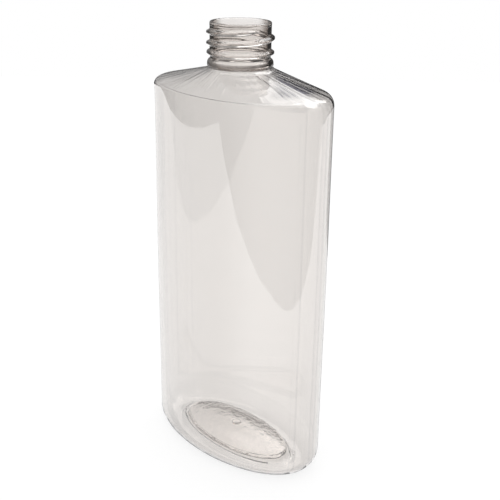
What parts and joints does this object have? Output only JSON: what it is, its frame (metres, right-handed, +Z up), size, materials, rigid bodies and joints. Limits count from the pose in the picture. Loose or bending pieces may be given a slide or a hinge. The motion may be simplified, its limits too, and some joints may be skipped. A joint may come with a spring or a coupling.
{
  "type": "oval bottle",
  "caption": "Empty clear oval plastic bottle with a sloping shoulder, a pushed-up base and an open screw neck without a cap.",
  "frame": {"origin": "on the ground, under the middle of the neck", "axes": "+Z up along the neck's axis, +X along the long axis of the oval, +Y towards a broad face"},
  "size_m": [0.0914, 0.0532, 0.1905],
  "materials": {
    "neck": "clear, glossy, thick-walled PET",
    "body": "clear, glossy, thin blown PET"
  },
  "bodies": {
    "root": {"neck_finish": "neck", "shoulder": "body", "body_wall": "body", "base_cup": "body"}
  },
  "joints": []
}
